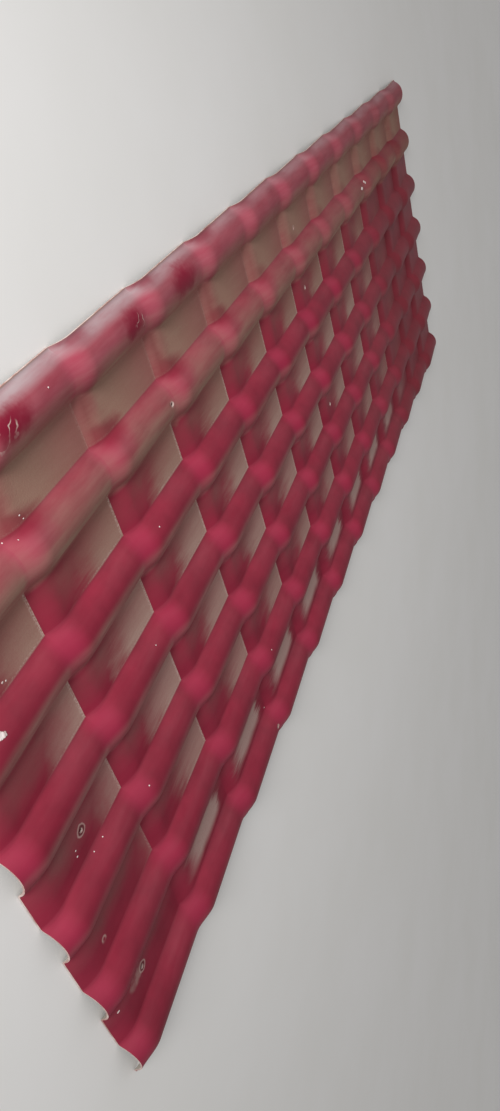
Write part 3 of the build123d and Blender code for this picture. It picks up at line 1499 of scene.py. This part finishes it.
@dataclass(frozen=True)
class PaintedFloor(Finish):
    """A concrete floor with matt paint, worn a little.

    Matt paint on a floor has an IOR near 1.5, and a roughness of 0.9 where it is worn.
    """

    title: ClassVar[str] = "painted_floor"

    paint: str = "#ECEAE8"
    worn: str = "#E9E7E4"
    roughness: float = 0.9
    gloss: float = 0.2

    def draw(self, node: AddNode, place: Socket) -> Socket:
        """Draw faint worn places.

        Args:
            node: Adds a node to the material.
            place: The point's place on the floor.

        Returns:
            The shader.
        """
        # Worn places half a metre across
        worn = node(NOISE, {"Vector": place, "Scale": 2.0, "Detail": 4.0, "Roughness": 0.6})
        amount = node(RANGE, (worn, 0.35, 0.65))
        colour = node(MIX, {0: amount, 6: linear(self.paint), 7: linear(self.worn)}, **COLOURS)
        return node(
            "ShaderNodeBsdfPrincipled",
            {"Base Color": colour, "Roughness": self.roughness, "Specular IOR Level": self.gloss},
        )


@dataclass(frozen=True)
class Studio:
    """A plain pale floor, a soft even sky and one soft key light, low beyond the sheet's near left corner."""

    floor_size: float = 400.0
    floor_finish: Finish = PaintedFloor()
    sky_colour: str = "#FFFFFF"
    sky_level: float = 0.43
    seen_level: float = 0.80
    key_place: tuple[float, float, float] = (-2.44, -2.92, 0.94)
    key_aim: tuple[float, float, float] = (0.0, -0.3, 0.0)
    key_size: float = 1.1
    key_spread: float = math.radians(90)
    key_power: float = 32.0

    def build(self, floor_height: float) -> None:
        """Build the floor, the sky and the key light.

        Args:
            floor_height: Height of the floor.
        """
        deselect_all()
        bpy.ops.mesh.primitive_plane_add(size=self.floor_size, location=(0, 0, floor_height))
        floor = bpy.context.object
        floor.name = "studio_floor"
        floor.data.materials.append(self.floor_finish.build())
        self._sky()
        bpy.ops.object.light_add(type="AREA", location=self.key_place)
        key = bpy.context.object
        key.name = "key_light"
        key.data.size = self.key_size
        key.data.spread = self.key_spread
        key.data.energy = self.key_power
        key.visible_camera = False
        back = Vector(self.key_place) - Vector(self.key_aim)
        key.rotation_euler = back.to_track_quat("Z", "Y").to_euler()

    def _sky(self) -> None:
        """Light the scene evenly from all round, and show a pale background to the camera."""
        world = bpy.data.worlds.new("studio_sky")
        bpy.context.scene.world = world
        world.use_nodes = True
        tree = world.node_tree
        tree.nodes.clear()
        node = partial(add_node, tree)
        seen = node("ShaderNodeLightPath", out=0)
        level = node(RANGE, (seen, 0.0, 1.0, self.sky_level, self.seen_level))
        sky = node("ShaderNodeBackground", {"Color": linear(self.sky_colour), "Strength": level})
        node("ShaderNodeOutputWorld", (sky,))


@dataclass(frozen=True)
class ViewCamera:
    """A phone's camera, held on its side and close to the sheet's near left corner.

    focal_pixels, axis_row and image_height are in rows of the picture, and sensor is in millimetres.
    """

    place: tuple[float, float, float] = (-0.8398, -1.6618, 0.7010)
    right: tuple[float, float, float] = (0.23943, 0.35635, 0.90316)
    up: tuple[float, float, float] = (-0.84242, 0.53871, 0.01078)
    back: tuple[float, float, float] = (-0.48270, -0.76342, 0.42918)
    image_height: float = 1111.0
    focal_pixels: float = 774.0
    axis_row: float = 458.0
    sensor: float = 36.0
    clip_end: float = 100.0

    def build(self) -> bpy.types.Object:
        """Add the camera and make it the scene's own.

        Returns:
            The camera.
        """
        deselect_all()
        bpy.ops.object.camera_add(location=self.place)
        camera = bpy.context.object
        camera.name = "view_camera"
        turn = Matrix((self.right, self.up, self.back)).transposed()
        camera.rotation_euler = turn.to_euler()
        camera.data.sensor_width = self.sensor
        camera.data.lens = self.focal_pixels / self.image_height * self.sensor
        camera.data.shift_y = (self.axis_row - self.image_height / 2) / self.image_height
        camera.data.clip_end = self.clip_end
        bpy.context.scene.camera = camera
        return camera


def read_holes(record: dict) -> list[ScrewHole]:
    """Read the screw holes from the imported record.

    Args:
        record: The record.

    Returns:
        The holes, with what each screw left round it.
    """
    marks = {"eaves_screw": ScrewMark.RINGED, "mid_screw": ScrewMark.FAINT}
    holes = []
    for mount in record["mounts"]:
        if mount["kind"] != "bore":
            continue
        mark = next((marks[start] for start in marks if mount["name"].startswith(start)), ScrewMark.CHIPPED)
        holes.append(ScrewHole(Vector(mount["pos_m"]), mount["dims"]["r_mm"] / MM_PER_M, mark))
    return holes


def put_on_frame(piece: bpy.types.Object) -> None:
    """Let a finished piece ride on the sheet's body, and report it.

    Args:
        piece: The finished piece.
    """
    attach(piece, BODY)
    piece.data.calc_loop_triangles()
    log.info("%s: %d triangles", piece.name, len(piece.data.loop_triangles))


def main() -> None:
    """Build the sheet, what dried on it, the studio and the camera, in that order."""
    logging.basicConfig(level=logging.INFO, format="%(name)s %(message)s", stream=sys.stdout)
    bpy.context.scene.view_settings.view_transform = "Standard"
    deselect_all()
    low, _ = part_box(CAD_NODE)
    form = SheetForm(left=low[0], eaves=low[1], floor=low[2])
    holes = read_holes(frame["record"])

    finishes = [WeatheredSkin(form, holes).build(), Underside().build(), PaleCore().build()]
    sheet = MouldedSheet(form, holes).build(finishes)
    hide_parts(CAD_NODE)
    put_on_frame(sheet)

    lime = DriedLime().build()
    for lump in DriedSplashes(form, lime).build():
        put_on_frame(lump)
    put_on_frame(FlungSpecks(form, lime).build())

    Studio().build(form.floor)
    ViewCamera().build()
    deselect_all()


if __name__ == "__main__":
    main()
